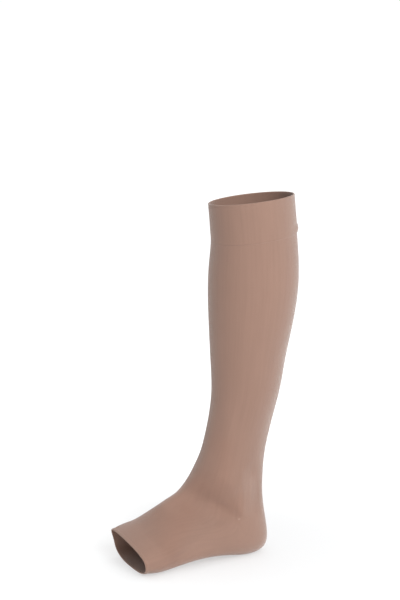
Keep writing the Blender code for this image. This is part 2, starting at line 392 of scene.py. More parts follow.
def slack_and_painted_light_at(points):
    """The heel pocket's slack, 0 to 1, and painted light under the arch, at the toes and in small zones."""
    forward, up = side_places(points).T
    from_gore = np.abs(up - height_of(GORE_LINE, forward))
    pocket = (eased((POCKET_FRONT - forward) / POCKET_FADE_FORWARD)
              * eased((POCKET_HEIGHT - from_gore) / POCKET_FADE_UP))
    # painted light: paler below the arch line and towards the toes
    arch = ARCH_PAINTED_LIGHT * eased((height_of(ARCH_LINE, forward) - up) / ARCH_FADE + 0.5)
    toes = TOES_PAINTED_LIGHT * eased((forward - TOES_START) / TOES_FADE)
    return np.maximum.reduce([pocket, arch, toes, added_up(PAINTED_LIGHT_ZONES, points)])


def painted_shade_at(points):
    """Painted shade over the ankle's bend, beside the shin and over the ball of the foot."""
    return added_up(PAINTED_SHADE_ZONES, points)


for name in ("calf", "heel"):
    print(f"the knit at the {name} is slack by up to {slack_and_painted_light_at(ring(down_at(name))).max():.2f}")

# %% [markdown]
# ## Building a wall of cloth
#
# Cloth modelled as a single skin looks like paper at its edges. Here a wall of cloth is a closed loop of
# rings: down the outside, round the lower edge, up the inside and round the upper edge. Each entry of the
# loop says how far down its ring lies and how far out of the form. A Solidify modifier could give a skin
# its thickness, but here the outside has forms that the inside hasn't, such as the ridge of the band. The
# mesh carries two maps. "Knit" counts wales round and millimetres along the cloth, so the pattern of
# stitches follows the tube round the heel. "OFBake" lays the whole wall out flat, so that its surface can
# be stored in an image.

# %% How the knit runs along the cloth
# down    how far down the stocking a ring of a wall lies
# out     how far out of the form, as one number or as one for each of its points
# inside  whether it is on the wall's inner face
# row     how far along the knit it is, where that isn't the same as down
Ring = namedtuple("Ring", "down out inside row", defaults=[False, None])
KNIT_MAP = "Knit"
FLAT_MAP = "OFBake"
OUTSIDE_SHARE = 0.78  # of the flat map's height


def rows_through_heel(grid, downs):
    """How far along the knit each point lies, in millimetres. It is the distance down the stocking, but the
    heel's pocket has rows of its own, which meet the others at the gore line."""
    rows = np.repeat(np.array(downs)[:, None], AROUND, axis=1)
    first, last = np.searchsorted(downs, [down_at("ankle"), down_at("front of arch")])
    pocket = slice(first, last + 1)
    steps = np.linalg.norm(np.diff(grid[pocket], axis=0), axis=2)
    length = np.concatenate([np.zeros((1, AROUND)), np.cumsum(steps, axis=0)])
    spare = length[-1] - (downs[last] - downs[first])
    forward, up = np.moveaxis(side_places(grid[pocket]), -1, 0)
    below = up < height_of(GORE_LINE, forward)
    rows[pocket] = np.where(spare > 0, downs[first] + length - spare * below, rows[pocket])
    return rows


def knit_rows(grid, profile, through_heel):
    """How far along the knit each point of a wall lies, inside and outside."""
    rows = np.array([np.full(AROUND, entry.down if entry.row is None else entry.row) for entry in profile])
    if through_heel:
        outside = [k for k, entry in enumerate(profile) if not entry.inside]
        rows[outside] = rows_through_heel(grid[outside], [profile[k].down for k in outside])
    return rows


def flat_heights(profile):
    """Where each ring of a closed loop lies on the flat map, from 0 to 1, and the loop's end."""
    following = profile[1:] + profile[:1]
    pairs = zip(profile, following)
    distance = np.array([np.hypot(a.down - b.down, np.mean(a.out - b.out)) for a, b in pairs])
    inside = np.array([entry.inside for entry in profile])
    share = np.where(inside, 1 - OUTSIDE_SHARE, OUTSIDE_SHARE)
    whole = np.where(inside, distance[inside].sum(), distance[~inside].sum())
    return np.concatenate([[0], np.cumsum(distance * share / whole)])


print("maps:", KNIT_MAP, "and", FLAT_MAP, "with the attributes", SLACK_AND_LIGHT_MAP, "and", PAINTED_SHADE_MAP)

# %% The points of a wall
def wall_grid(profile):
    """The points of a wall in the row's frame, in millimetres: one row of them for each ring."""
    grid = []
    for entry in profile:
        points, normals = ring_and_normals(entry.down)
        out = entry.out + crease_height(points, normals)  # the cloth's two faces are creased together
        points = points + normals * out[:, None]
        floor = LEG_WALL - np.minimum(entry.out, LEG_WALL)  # the sole lies flat where the floor presses it
        points[:, 2] = np.maximum(points[:, 2], floor - RIM_CENTRE[1])
        grid.append(points)
    return np.array(grid)


heel_sole = wall_grid([Ring(down_at("heel sole"), LEG_WALL)])
print(f"the heel's sole is {side_places(heel_sole)[..., 1].min():.1f} mm above the floor")


# %% The wall builder
CUT_ANGLE = math.radians(50)  # the cut ends of a wall are sharper than this, and nothing else is


def placed(name, data):
    """A new object in the scene."""
    thing = bpy.data.objects.new(name, data)
    bpy.context.scene.collection.objects.link(thing)
    return thing


def cloth_wall(name, profile, face_knit, reverse_knit, through_heel=False):
    """A closed wall of cloth with its maps and attributes, and a finish for each of its two faces."""
    grid = wall_grid(profile)
    k, i = np.meshgrid(np.arange(len(profile)), np.arange(AROUND), indexing="ij")
    next_k, next_i = (k + 1) % len(profile), (i + 1) % AROUND
    corners = [(k, i), (next_k, i), (next_k, next_i), (k, next_i)]
    faces = np.stack([a * AROUND + b for a, b in corners], axis=-1).reshape(-1, 4)
    mesh = bpy.data.meshes.new(name)
    mesh.from_pydata((grid.reshape(-1, 3) * MM).tolist(), [], faces.tolist())

    rows = knit_rows(grid, profile, through_heel)
    along = np.stack([rows[a, b] for a, b in corners], axis=-1)
    across = np.stack([i, i, i + 1, i + 1], axis=-1)
    flat = flat_heights(profile)
    flat_along = np.stack([flat[k], flat[k + 1], flat[k + 1], flat[k]], axis=-1)
    for map_name, u, v in (
        (KNIT_MAP, across * WALES / AROUND, along),
        (FLAT_MAP, across / AROUND, flat_along),
    ):
        layer = mesh.uv_layers.new(name=map_name)
        layer.uv.foreach_set("vector", np.stack([u, v], axis=-1).astype(np.float32).ravel())
    for map_name, amounts in ((SLACK_AND_LIGHT_MAP, slack_and_painted_light_at), (PAINTED_SHADE_MAP, painted_shade_at)):
        layer = mesh.attributes.new(map_name, "FLOAT", "POINT")
        layer.data.foreach_set("value", amounts(grid.reshape(-1, 3)).astype(np.float32))

    is_inside = np.array([entry.inside for entry in profile])
    reverse = is_inside[k] & is_inside[next_k]
    mesh.polygons.foreach_set("material_index", reverse.astype(np.int32).ravel())
    mesh.materials.append(face_knit)
    mesh.materials.append(reverse_knit)
    mesh.shade_smooth()
    mesh.set_sharp_from_angle(angle=CUT_ANGLE)
    mesh.validate()
    print(f"{name}: {len(profile)} rings, {len(faces)} faces")
    return placed(name, mesh)


# %% [markdown]
# ## The knit, as nodes that any material can use
#
# Seen close to, knit is made of small V shapes: each stitch has two legs of yarn that lean towards each
# other. There are far too many to model, about 300,000 here, so they are drawn as a height that tilts the
# light. A shader node group works like a function. "Knit stitches" takes a place on the knit map and gives
# the height of the yarn there, and how open the knit is. The reverse side shows the curved backs of the
# loops instead. "Yarn streaks" gives the long faint streaks that come from yarn that is never quite even.


# %% Small helpers for nodes
def feed(tree, socket, value):
    """Links another node's output to a socket, or sets the socket to a plain value."""
    if isinstance(value, bpy.types.NodeSocket):
        tree.links.new(value, socket)
    else:
        socket.default_value = value


def add_node(tree, kind, inputs=None, **settings):
    """A new node with its settings, and with what its named inputs are fed."""
    node = tree.nodes.new(kind)
    for name, value in settings.items():
        setattr(node, name, value)
    for name, value in (inputs or {}).items():
        feed(tree, node.inputs[name], value)
    return node


def calculate(tree, operation, *values):
    """One step of arithmetic."""
    node = add_node(tree, "ShaderNodeMath", operation=operation)
    for socket, value in zip(node.inputs, values):
        feed(tree, socket, value)
    return node.outputs["Value"]


def mixed(tree, factor, a, b, kind="FLOAT", blend="MIX"):
    """Two numbers or two colours, mixed."""
    inputs = {"Factor": factor, "A": a, "B": b}
    return add_node(tree, "ShaderNodeMix", inputs, data_type=kind, blend_type=blend).outputs["Result"]


def new_group(name, kind, inputs, outputs):
    """A node group with named sockets, and its two end nodes. inputs and outputs are (name, type, value)."""
    tree = bpy.data.node_groups.new(name, kind)
    for side, sockets in (("INPUT", inputs), ("OUTPUT", outputs)):
        for socket_name, socket_type, value in sockets:
            socket = tree.interface.new_socket(socket_name, in_out=side, socket_type=socket_type)
            if value is not None:
                socket.default_value = value
    return tree, add_node(tree, "NodeGroupInput").outputs, add_node(tree, "NodeGroupOutput").inputs


# %% The knit stitches
TURN = 2 * math.pi
LEG_LEAN = 0.42  # how far a stitch's leg climbs from the middle of its wale to the side, in courses
LEG_ROUNDING = 0.22  # how much lower the yarn lies between two courses than on them
GROOVE_NARROWNESS = 3  # of the groove between two wales
CREASE_DEPTH, CREASE_NARROWNESS = 0.25, 4  # of the crease down the middle of a wale
LOOP_SWAY = 0.22  # how far the backs of the loops curve up and down, in courses
FLOAT = "NodeSocketFloat"


def knit_stitches_group():
    tree, given, result = new_group(
        "Knit stitches",
        "ShaderNodeTree",
        [("Wale", FLOAT, 0), ("Row", FLOAT, 0), ("Reverse", FLOAT, 0)],
        [("Height", FLOAT, None), ("Openness", FLOAT, None)],
    )
    course = calculate(tree, "DIVIDE", given["Row"], COURSE)
    within = calculate(tree, "MULTIPLY_ADD", calculate(tree, "FRACT", given["Wale"]), 2, -1)
    aside = calculate(tree, "ABSOLUTE", within)
    # The right side: leaning legs, a groove between two wales and a crease down the middle of each.
    phase = calculate(tree, "MULTIPLY_ADD", aside, LEG_LEAN, course)
    legs = calculate(tree, "COSINE", calculate(tree, "MULTIPLY", phase, TURN))
    rounded = calculate(tree, "MULTIPLY_ADD", legs, LEG_ROUNDING, 1 - LEG_ROUNDING)
    groove = calculate(tree, "POWER", aside, GROOVE_NARROWNESS)
    from_middle = calculate(tree, "MINIMUM", calculate(tree, "MULTIPLY", aside, CREASE_NARROWNESS), 1)
    crease = calculate(tree, "SUBTRACT", 1, from_middle)
    body = calculate(tree, "MULTIPLY_ADD", crease, -CREASE_DEPTH, calculate(tree, "SUBTRACT", 1, groove))
    right = calculate(tree, "MULTIPLY", body, rounded)
    # The reverse side: the backs of the loops, which curve up and down along the course.
    sway = calculate(tree, "COSINE", calculate(tree, "MULTIPLY", given["Wale"], TURN))
    wave = calculate(tree, "MULTIPLY", calculate(tree, "MULTIPLY_ADD", sway, LOOP_SWAY, course), TURN)
    back = calculate(tree, "MULTIPLY_ADD", calculate(tree, "COSINE", wave), 0.5, 0.5)
    height = mixed(tree, given["Reverse"], right, back)
    feed(tree, result["Height"], height)
    feed(tree, result["Openness"], calculate(tree, "SUBTRACT", 1, height))
    return tree


KNIT_STITCHES = knit_stitches_group()
print("made the node group", KNIT_STITCHES.name)

# %% The yarn streaks
STREAK_WIDTH = 3.2  # in wales
STREAK_LENGTH = 70.0  # in millimetres
CLOUD_SIZE = 26.0  # in both


def yarn_streaks_group():
    tree, given, result = new_group(
        "Yarn streaks",
        "ShaderNodeTree",
        [("Wale", FLOAT, 0), ("Row", FLOAT, 0)],
        [("Streaks", FLOAT, None), ("Clouds", FLOAT, None)],
    )
    # The wales are wrapped round a circle, so that the noise has no seam where the count starts again.
    angle = calculate(tree, "MULTIPLY", given["Wale"], TURN / WALES)
    for name, width, length, detail in (
        ("Streaks", STREAK_WIDTH, STREAK_LENGTH, 2),
        ("Clouds", CLOUD_SIZE, CLOUD_SIZE, 1),
    ):
        radius = WALES / width / TURN
        place = {
            "X": calculate(tree, "MULTIPLY", calculate(tree, "COSINE", angle), radius),
            "Y": calculate(tree, "MULTIPLY", calculate(tree, "SINE", angle), radius),
            "Z": calculate(tree, "DIVIDE", given["Row"], length),
        }
        vector = add_node(tree, "ShaderNodeCombineXYZ", place).outputs["Vector"]
        noise = add_node(tree, "ShaderNodeTexNoise", {"Vector": vector, "Scale": 1, "Detail": detail})
        feed(tree, result[name], noise.outputs["Fac"])
    return tree


YARN_STREAKS = yarn_streaks_group()
print("made the node group", YARN_STREAKS.name)

# %% [markdown]
# ## The finish of the cloth
#
# The yarn is matt nylon over a stretchy core, dyed a warm taupe. It has no gloss, but its fine fibres catch
# the light along every edge that turns away, which a sheen layer gives. The colour of each knit differs a
# little: the doubled band is denser, and the reverse side shows more of the core. Each material reads its
# colour from a small table. Its streaks and stitches come from the two node groups, and the gaps between the
# stitches are painted darker, as painted shade. The slack attribute makes it a little paler in the heel's
# pocket and adds painted light elsewhere, and the tight attribute adds painted shade with a warm tint. An
# image of knit could be wrapped round instead, but it would repeat, and go soft close up.

# %% The dyes and the relief
Knit = namedtuple("Knit", "name colour reverse relief")  # reverse is 1 or 0, and relief in millimetres
KNITS = [
    Knit("leg_knit", (0.294, 0.177, 0.134), 0, 0.11),
    Knit("leg_knit_reverse", (0.304, 0.185, 0.142), 1, 0.16),
    Knit("band_knit", (0.293, 0.177, 0.134), 0, 0.10),
    Knit("toe_knit", (0.294, 0.177, 0.134), 0, 0.10),
    Knit("toe_knit_reverse", (0.304, 0.185, 0.142), 1, 0.14),
]
SLACK_AND_LIGHT_LIFT = 0.07  # how much paler the slack cloth and the painted light are
PAINTED_SHADE_TINT = (0.97, 0.92, 0.90)  # painted shade: what its colour is multiplied by where it is painted darker
STREAK_DEPTH = 0.12  # how much a streak darkens the colour
CLOUD_DEPTH = 0.05
GAP_SHADE_DEPTH = 0.16  # painted shade: how much darker the gaps between the stitches are painted
STREAK_RELIEF = 0.10  # millimetres
ROUGHNESS = (0.80, 0.92)  # on the yarn, and in the gaps
FIBRE_SHEEN = {
    "Specular IOR Level": 0.2,
    "Sheen Weight": 0.5,
    "Sheen Roughness": 0.4,
    "Sheen Tint": (1.0, 0.98, 0.96, 1),
}


def new_finish(name, settings=FIBRE_SHEEN):
    """A material. Yarn and cloth have the soft light that fine fibres catch where they turn away."""
    material = bpy.data.materials.new(name)
    material.use_nodes = True
    shader = material.node_tree.nodes["Principled BSDF"]
    for socket_name, value in settings.items():
        shader.inputs[socket_name].default_value = value
    return material, material.node_tree, shader


def from_to(tree, ends, amount):
    """A value that goes from the first end to the second as the amount goes from 0 to 1."""
    return calculate(tree, "MULTIPLY_ADD", amount, ends[1] - ends[0], ends[0])


def attribute(tree, name):
    """What a piece's points carry under a name."""
    return add_node(tree, "ShaderNodeAttribute", attribute_name=name).outputs["Fac"]


def dye(tree, colour, depths):
    """A knit's colour, darker by its patterns, paler with slack and painted light, darker with painted
    shade.
    """
    shade = 1.0 + (STREAK_DEPTH + CLOUD_DEPTH) / 2
    for pattern, depth in depths:
        shade = calculate(tree, "MULTIPLY_ADD", pattern, -depth, shade)
    shade = calculate(tree, "MULTIPLY_ADD", attribute(tree, SLACK_AND_LIGHT_MAP), SLACK_AND_LIGHT_LIFT, shade)
    # painted shade: darker and warmer where the tight attribute says
    drawn = mixed(tree, attribute(tree, PAINTED_SHADE_MAP), (*colour, 1), (*PAINTED_SHADE_TINT, 1), "RGBA", "MULTIPLY")
    return mixed(tree, 1, drawn, shade, "RGBA", "MULTIPLY")


print("dyes for", len(KNITS), "knits")


# %% The materials of the knit
def knit_material(knit):
    material, tree, shader = new_finish(knit.name)
    knit_map = add_node(tree, "ShaderNodeUVMap", uv_map=KNIT_MAP).outputs["UV"]
    place = add_node(tree, "ShaderNodeSeparateXYZ", {"Vector": knit_map}).outputs
    where = {"Wale": place["X"], "Row": place["Y"]}
    inputs = {**where, "Reverse": knit.reverse}
    stitches = add_node(tree, "ShaderNodeGroup", inputs, node_tree=KNIT_STITCHES).outputs
    streaks = add_node(tree, "ShaderNodeGroup", where, node_tree=YARN_STREAKS).outputs
    depths = [
        (streaks["Streaks"], STREAK_DEPTH),
        (streaks["Clouds"], CLOUD_DEPTH),
        # painted shade in the gaps between the stitches
        (stitches["Openness"], GAP_SHADE_DEPTH),
    ]
    feed(tree, shader.inputs["Base Color"], dye(tree, knit.colour, depths))
    feed(tree, shader.inputs["Roughness"], from_to(tree, ROUGHNESS, stitches["Openness"]))
    uneven = {"Distance": STREAK_RELIEF * MM, "Height": streaks["Streaks"]}
    relief = {
        "Distance": knit.relief * MM,
        "Height": stitches["Height"],
        "Normal": add_node(tree, "ShaderNodeBump", uneven).outputs["Normal"],
    }
    feed(tree, shader.inputs["Normal"], add_node(tree, "ShaderNodeBump", relief).outputs["Normal"])
    return material


FINISH = {knit.name: knit_material(knit) for knit in KNITS}
print("knit finishes:", ", ".join(FINISH))

# %% [markdown]
# ## The leg and the foot
#
# This is the plain tube between the two bands. Its outside is drawn with many rings, because the creases
# beside the heel are only a few millimetres wide, and its inside with fewer. The whole stocking could be
# one mesh, but each part has its own thickness and finish, so each is a piece of its own. Both ends stop a
# hair's breadth from the bands, so that no light shows between them.

# %% Leg and foot
def wall_profile(start, end, wall, step):
    """A plain wall: down the outside and up the inside."""
    outside = [Ring(down, wall) for down in steps_between(start, end, step)]
    inside = [Ring(down, 0.0, True) for down in steps_between(start, end, INSIDE_STEP)[::-1]]
    return outside + inside


LEG_START = down_at("band edge") - PACKED_GAP / 2 + BUTT_GAP
LEG_END = down_at("toe band edge") + PACKED_GAP / 2 - BUTT_GAP
leg_cloth = cloth_wall(
    "leg_cloth",
    wall_profile(LEG_START, LEG_END, LEG_WALL, OUTSIDE_STEP),
    FINISH["leg_knit"],
    FINISH["leg_knit_reverse"],
    through_heel=True,
)

# %% [markdown]
# ## The top band
#
# The end of the tube is folded inwards and joined again at the band's lower edge, so this band is two
# layers thick and its rim is a rounded fold. The join is made stitch by stitch, so that the outside stays
# almost flush and shows no more than a fine line. Only at the back of the leg, where the join starts and
# ends, does it gather into a soft ridge. Just under the rim the fold makes a narrow lip, with a groove
# below it that is deepest over the shin. Both layers show the right side of the knit. Two tubes, one inside
# the other, would be truer, but nothing shows of the space between them. One thicker wall is enough, and
# one formula for its outside gives the lip, the groove, the thin edge and the ridge.

# %% Top band
BAND_STEP = 0.8
RIDGE = 1.2  # how far the gathered join stands out at the back
RIDGE_HEIGHT = 10.0
RIDGE_LEAN = 0.85  # 1 puts the ridge's crest half way up it, and less puts it lower
RIDGE_STARTS, RIDGE_WHOLE = 0.83, 0.97  # shares of the way to the back
FLUSH_WALL = 1.16  # at the lower edge, away from the ridge
FLUSH_HEIGHT = 16.0
EDGE_ROUNDING = 0.12
RIM_LIP, RIM_LIP_DOWN, RIM_LIP_WIDTH = 0.12, 1.4, 0.9
RIM_GROOVE, RIM_GROOVE_DOWN, RIM_GROOVE_WIDTH = -0.40, 2.9, 0.75
GROOVE_BEHIND = 0.15  # of its depth over the shin
GROOVE_SHALLOW = 1 / 6  # the share of the way to the back from which it is that shallow
FOLD_POINTS = 9
BAND_END = down_at("band edge") - PACKED_GAP / 2
SHARE_BACK = (1 - np.cos(TURN * np.arange(AROUND) / AROUND)) / 2  # 0 at the front and 1 at the back


def soft_bump(place, middle, width):
    return math.exp(-(((place - middle) / width) ** 2))


def band_out(down):
    """How far the band's outside stands out at each point of a ring."""
    at_back = eased((SHARE_BACK - RIDGE_STARTS) / (RIDGE_WHOLE - RIDGE_STARTS))
    at_front = GROOVE_BEHIND + (1 - GROOVE_BEHIND) * eased(1 - SHARE_BACK / GROOVE_SHALLOW)
    lip = RIM_LIP * soft_bump(down, RIM_LIP_DOWN, RIM_LIP_WIDTH)
    groove = RIM_GROOVE * soft_bump(down, RIM_GROOVE_DOWN, RIM_GROOVE_WIDTH) * at_front
    thinning = (FLUSH_WALL - BAND_WALL) * eased(1 - (BAND_END - down) / FLUSH_HEIGHT) * (1 - at_back)
    above_edge = min((BAND_END - down) / RIDGE_HEIGHT, 1)
    ridge = RIDGE * math.sin(math.pi * above_edge**RIDGE_LEAN) * at_back
    return BAND_WALL + lip + groove + thinning + ridge


def band_profile():
    radius = BAND_WALL / 2
    turns = np.linspace(-math.pi / 2, math.pi / 2, FOLD_POINTS)
    fold = [Ring(radius * (1 - math.cos(t)), radius * (1 + math.sin(t)), False, radius * t) for t in turns]
    plain = [Ring(d, band_out(d)) for d in steps_between(radius, BAND_END - EDGE_ROUNDING, BAND_STEP)[1:]]
    edge = [Ring(BAND_END, band_out(BAND_END) - EDGE_ROUNDING)]
    inside = [Ring(d, 0.0, True, -d) for d in steps_between(BAND_WALL, BAND_END, INSIDE_STEP)[::-1]]
    return fold + plain + edge + inside


band_cloth = cloth_wall("band_cloth", band_profile(), FINISH["band_knit"], FINISH["band_knit"])

# %% [markdown]
# ## The toe band
#
# A firmer knit grips the ball of the foot and is turned at its end, so the open toe has a thin rolled edge
# and doesn't unravel. It is knitted straight on from the foot, so it thickens softly and starts without a
# line. A round cord along the opening could stand for the rolled edge, but a line would show where it meets
# the cloth. Here the wall itself swells near its end, and its last rings turn round the edge.

# %% Toe band
TOE_STEP = 0.8
TOE_BEAD = 0.4
TOE_BEAD_LENGTH = 4.0
TOE_ROUNDING = 0.6
TOE_THICKENS_OVER = 9.0
TOE_START = down_at("toe band edge") + PACKED_GAP / 2
TOE_END = down_at("toe edge")
TOE_STRAIGHT_END = TOE_END - TOE_ROUNDING


def toe_out(down):
    """How far the toe band's outside stands out: as the foot's at its start, then firmer, then rolled."""
    wall = LEG_WALL + (TOE_WALL - LEG_WALL) * eased((down - TOE_START) / TOE_THICKENS_OVER)
    along = np.clip((down - (TOE_END - TOE_BEAD_LENGTH)) / TOE_BEAD_LENGTH, 0, 1)
    return wall + TOE_BEAD * math.sin(math.pi * along)


def toe_profile():
    outside = [Ring(d, toe_out(d)) for d in steps_between(TOE_START, TOE_STRAIGHT_END, TOE_STEP)]
    turns = np.linspace(-math.pi / 2, math.pi / 2, FOLD_POINTS)[1:-1]
    middle = toe_out(TOE_STRAIGHT_END) / 2
    edge = [Ring(TOE_END - TOE_ROUNDING * (1 - math.cos(t)), middle * (1 - math.sin(t))) for t in turns]
    inside = [Ring(d, 0.0, True) for d in steps_between(TOE_START, TOE_STRAIGHT_END, INSIDE_STEP)[::-1]]
    return outside + edge + inside


toe_cloth = cloth_wall("toe_cloth", toe_profile(), FINISH["toe_knit"], FINISH["toe_knit_reverse"])

# %% [markdown]
# ## Rows of stitches, with Geometry Nodes
#
# A row of stitches is one small shape that repeats along a path, which is what Geometry Nodes do best. The
# tree below takes a guide line, puts a point at each stitch, and sets a small bead of yarn on it. The bead
# lies along the path and flat on the cloth, because the guide carries the cloth's outward direction with
# it. Every size is a named input, so one tree serves the closing seam of the band, the edge of the toe and
# the gore lines of the heel.

# %% The parts of the tree
OUTWARD = "outward"  # the attribute of a guide that says which way is out of the cloth
BEAD = {"Segments": 8, "Rings": 5, "Radius": 0.5}


def bead_of_yarn(tree, given):
    """One stitch: a small ball, drawn out to its length, its width and its height."""
    ball = add_node(tree, "GeometryNodeMeshUVSphere", BEAD).outputs["Mesh"]
    sizes = {"X": given["Length"], "Y": given["Width"], "Z": given["Height"]}
    size = add_node(tree, "ShaderNodeCombineXYZ", sizes).outputs["Vector"]
    return add_node(tree, "GeometryNodeTransform", {"Geometry": ball, "Scale": size}).outputs["Geometry"]


def stitch_turn(tree, given):
    """Along the guide and flat on the cloth, and tilted to one side and the other by turns."""
    outward = add_node(tree, "GeometryNodeInputNamedAttribute", {"Name": OUTWARD}, data_type="FLOAT_VECTOR")
    axes = {
        "Primary Axis": outward.outputs["Attribute"],
        "Secondary Axis": add_node(tree, "GeometryNodeInputTangent").outputs["Tangent"],
    }
    flat = add_node(tree, "FunctionNodeAxesToRotation", axes, primary_axis="Z", secondary_axis="X")
    index = add_node(tree, "GeometryNodeInputIndex").outputs["Index"]
    side = calculate(tree, "MULTIPLY_ADD", calculate(tree, "FLOORED_MODULO", index, 2), 2, -1)
    angle = {"Angle": calculate(tree, "MULTIPLY", side, given["Tilt"])}
    tilt = add_node(tree, "FunctionNodeAxisAngleToRotation", angle).outputs["Rotation"]
    turns = {"Rotation": flat.outputs["Rotation"], "Rotate By": tilt}
    return add_node(tree, "FunctionNodeRotateRotation", turns, rotation_space="LOCAL").outputs["Rotation"]


def uneven_size(tree, given):
    """A number near 1 for each stitch, because no two come out quite the same."""
    limits = {
        "Min": calculate(tree, "SUBTRACT", 1, given["Unevenness"]),
        "Max": calculate(tree, "ADD", 1, given["Unevenness"]),
        "Seed": given["Seed"],
    }
    return add_node(tree, "FunctionNodeRandomValue", limits, data_type="FLOAT").outputs["Value"]


print("a bead of yarn has", BEAD["Segments"] * BEAD["Rings"], "faces")

# %% The tree for a row of stitches
GEOMETRY = "NodeSocketGeometry"
STITCH_INPUTS = [
    ("Guide", GEOMETRY, None),
    ("Spacing", FLOAT, 1.5 * MM),
    ("Length", FLOAT, 1.2 * MM),
    ("Width", FLOAT, 0.5 * MM),
    ("Height", FLOAT, 0.4 * MM),
    ("Tilt", FLOAT, 0.0),
    ("Unevenness", FLOAT, 0.1),
    ("Seed", "NodeSocketInt", 1),
    ("Yarn", "NodeSocketMaterial", None),
]


def stitch_row_tree():
    stitches_out = [("Stitches", GEOMETRY, None)]
    tree, given, result = new_group("Row of stitches", "GeometryNodeTree", STITCH_INPUTS, stitches_out)
    curve = add_node(tree, "GeometryNodeMeshToCurve", {"Mesh": given["Guide"]}).outputs["Curve"]
    spaced = {"Curve": curve, "Length": given["Spacing"]}
    places = add_node(tree, "GeometryNodeResampleCurve", spaced, mode="LENGTH").outputs["Curve"]
    stitches = {
        "Points": places,
        "Instance": bead_of_yarn(tree, given),
        "Rotation": stitch_turn(tree, given),
        "Scale": uneven_size(tree, given),
    }
    row = add_node(tree, "GeometryNodeInstanceOnPoints", stitches).outputs["Instances"]
    real = add_node(tree, "GeometryNodeRealizeInstances", {"Geometry": row}).outputs["Geometry"]
    dyed = add_node(tree, "GeometryNodeSetMaterial", {"Geometry": real, "Material": given["Yarn"]})
    feed(tree, result["Stitches"], dyed.outputs["Geometry"])
    return tree


STITCH_ROW = stitch_row_tree()
print("made the tree", STITCH_ROW.name)

# %% [markdown]
# ## The yarn of the seams
#
# The stitches are sewn in a yarn of the cloth's own colour. Up close it is twisted. The twist is far too
# fine to model, so a fine noise paints the light and shade of its twist into its colour. The larger stitch
# that starts a gore line is of a paler yarn, with more of its core in view.

# %% Seam yarn
# the two ends of each yarn's colour, between which the painted light and shade of its twist runs
SEAM_COLOURS = ((0.250, 0.152, 0.115), (0.320, 0.197, 0.150))
SLUB_COLOURS = ((0.320, 0.205, 0.160), (0.380, 0.250, 0.200))
TWIST_SHADE_FINENESS = 2600  # changes of painted light and shade along a metre of yarn
YARN_ROUGHNESS = (0.7, 0.9)  # where the yarn is dark, and where it is light


def yarn_material(name, colours):
    material, tree, shader = new_finish(name)
    place = add_node(tree, "ShaderNodeTexCoord").outputs["Object"]
    twist_shade = add_node(tree, "ShaderNodeTexNoise", {"Vector": place, "Scale": TWIST_SHADE_FINENESS}).outputs["Fac"]
    dark, light = [(*colour, 1) for colour in colours]
    feed(tree, shader.inputs["Base Color"], mixed(tree, twist_shade, dark, light, "RGBA"))
    feed(tree, shader.inputs["Roughness"], from_to(tree, YARN_ROUGHNESS, twist_shade))
    return material


SEAM_YARN = yarn_material("seam_yarn", SEAM_COLOURS)
SLUB_YARN = yarn_material("slub_yarn", SLUB_COLOURS)
print("yarns:", SEAM_YARN.name, SLUB_YARN.name)

# %% [markdown]
# ## Sewing
#
# To sew a row, a guide is drawn on the cloth and the tree is put on it as a modifier. Blender works out the
# result, which is kept as a plain mesh, and the guide goes. A modifier knows its inputs by identifier and
# not by name, so each is looked up in the tree first.

# %% Sewing a row along a guide
# spacing, length, width, height  in millimetres
# tilt                            to one side and the other by turns, in radians
# unevenness                      how much larger or smaller a stitch may come out, as a share
Stitch = namedtuple("Stitch", "spacing length width height tilt unevenness yarn")


def guide_line(name, points, normals, closed):
    """A line of edges in the row's frame, with the cloth's outward direction at each of its points."""
    count = len(points)
    edges = [(k, (k + 1) % count) for k in range(count if closed else count - 1)]
    mesh = bpy.data.meshes.new(f"{name}_guide")
    mesh.from_pydata((np.array(points) * MM).tolist(), edges, [])
    outward = mesh.attributes.new(OUTWARD, "FLOAT_VECTOR", "POINT")
    outward.data.foreach_set("vector", np.array(normals, np.float32).ravel())
    return placed(mesh.name, mesh)


def sew(name, stitch, seed, points, normals, closed=False):
    """Stitches along some points on the cloth, as a plain mesh."""
    guide = guide_line(name, points, normals, closed)
    modifier = guide.modifiers.new(STITCH_ROW.name, "NODES")
    modifier.node_group = STITCH_ROW
    values = {
        "Spacing": stitch.spacing * MM,
        "Length": stitch.length * MM,
        "Width": stitch.width * MM,
        "Height": stitch.height * MM,
        "Tilt": stitch.tilt,
        "Unevenness": stitch.unevenness,
        "Seed": seed,
        "Yarn": stitch.yarn,
    }
    for input_name, value in values.items():
        modifier[STITCH_ROW.interface.items_tree[input_name].identifier] = value
    graph = bpy.context.evaluated_depsgraph_get()
    mesh = bpy.data.meshes.new_from_object(guide.evaluated_get(graph), depsgraph=graph)
    mesh.name = name
    mesh.shade_smooth()
    piece = placed(name, mesh)
    bpy.data.objects.remove(guide, do_unlink=True)
    print(f"{name}: {len(mesh.polygons)} faces")
    return piece


# %% [markdown]
# ## Seams and edges
#
# Three rows go round the tube: the join of the band, seen outside and inside, and the turned edge at the
# open toe. Each follows a ring of the form. The table says how far down the stocking that ring lies, and
# how far out of the form the row is. Their 550 beads could be set by hand, but a row that follows a ring
# still fits when the ring is changed.

